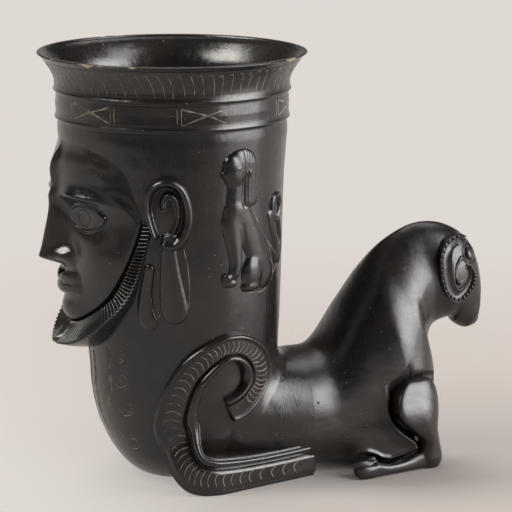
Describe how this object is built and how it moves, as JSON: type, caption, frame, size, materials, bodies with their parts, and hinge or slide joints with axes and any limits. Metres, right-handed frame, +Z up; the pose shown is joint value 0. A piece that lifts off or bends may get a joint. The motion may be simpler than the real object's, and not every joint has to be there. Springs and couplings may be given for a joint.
{
  "type": "rhyton",
  "caption": "Tall flared drinking vessel of burnished black clay with a bearded head on its front, side volute scrolls and a lying ram's forepart behind its foot.",
  "frame": {"origin": "on the surface it stands on, under the middle of the whole object", "axes": "+Z up, +X from the bearded face towards the ram's nose, +Y to the vessel's left side as the ram looks"},
  "size_m": [0.2167, 0.125, 0.2],
  "materials": {
    "bucchero": "black fired clay, burnished to a soft gloss"
  },
  "bodies": {
    "root": {"beaker": "bucchero", "ram_forepart": "bucchero", "ram_head": "bucchero", "ram_horn_right": "bucchero", "ram_horn_left": "bucchero", "ram_ear_right": "bucchero", "ram_ear_left": "bucchero", "foreleg_right": "bucchero", "foreleg_left": "bucchero", "face": "bucchero", "eye_right": "bucchero", "eye_left": "bucchero", "beard": "bucchero", "ear_right": "bucchero", "ear_left": "bucchero", "hair_lock_back_right": "bucchero", "hair_lock_back_left": "bucchero", "hair_lock_front_right": "bucchero", "hair_lock_front_left": "bucchero", "sphinx_right": "bucchero", "sphinx_left": "bucchero", "scroll_right": "bucchero", "scroll_left": "bucchero"}
  },
  "joints": []
}
